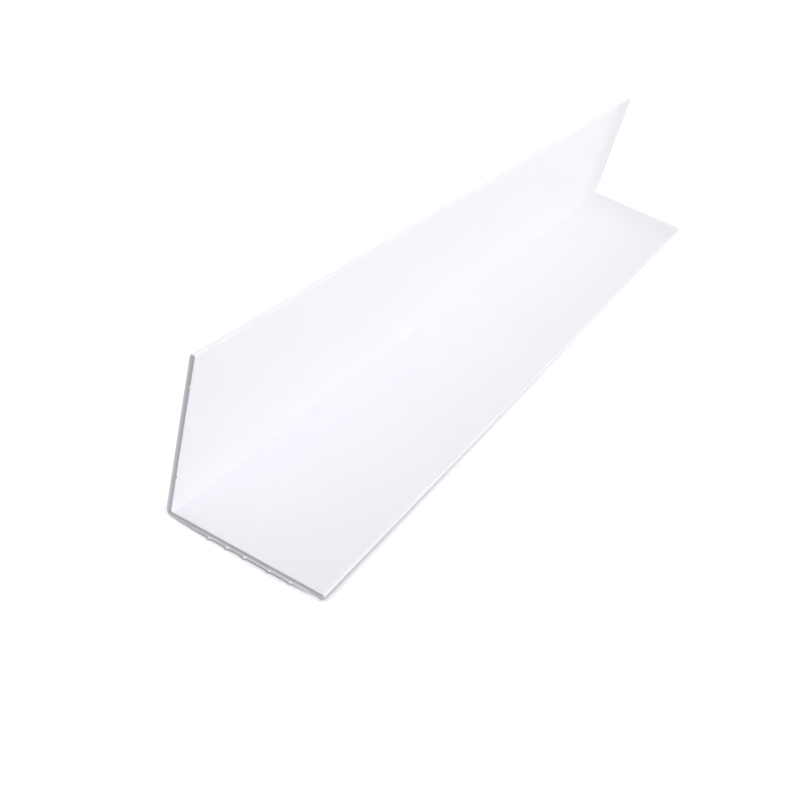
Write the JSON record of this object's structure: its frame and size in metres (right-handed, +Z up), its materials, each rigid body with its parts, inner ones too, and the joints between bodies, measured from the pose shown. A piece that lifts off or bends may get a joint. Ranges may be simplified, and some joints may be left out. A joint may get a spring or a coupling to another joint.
{
  "type": "corner guard moulding",
  "caption": "White plastic L-section corner guard moulding with equal flat legs, eased edges and a rounded heel, made to cover and protect an outside wall corner.",
  "frame": {"origin": "middle of the footprint, on the face that the guard rests on", "axes": "+X from the heel to the free edge of the flat leg, +Y along the length, +Z up the upright leg"},
  "size_m": [0.04, 0.3, 0.04],
  "materials": {
    "white_pvc": "satin"
  },
  "bodies": {
    "root": {"corner_guard": "white_pvc"}
  },
  "joints": []
}
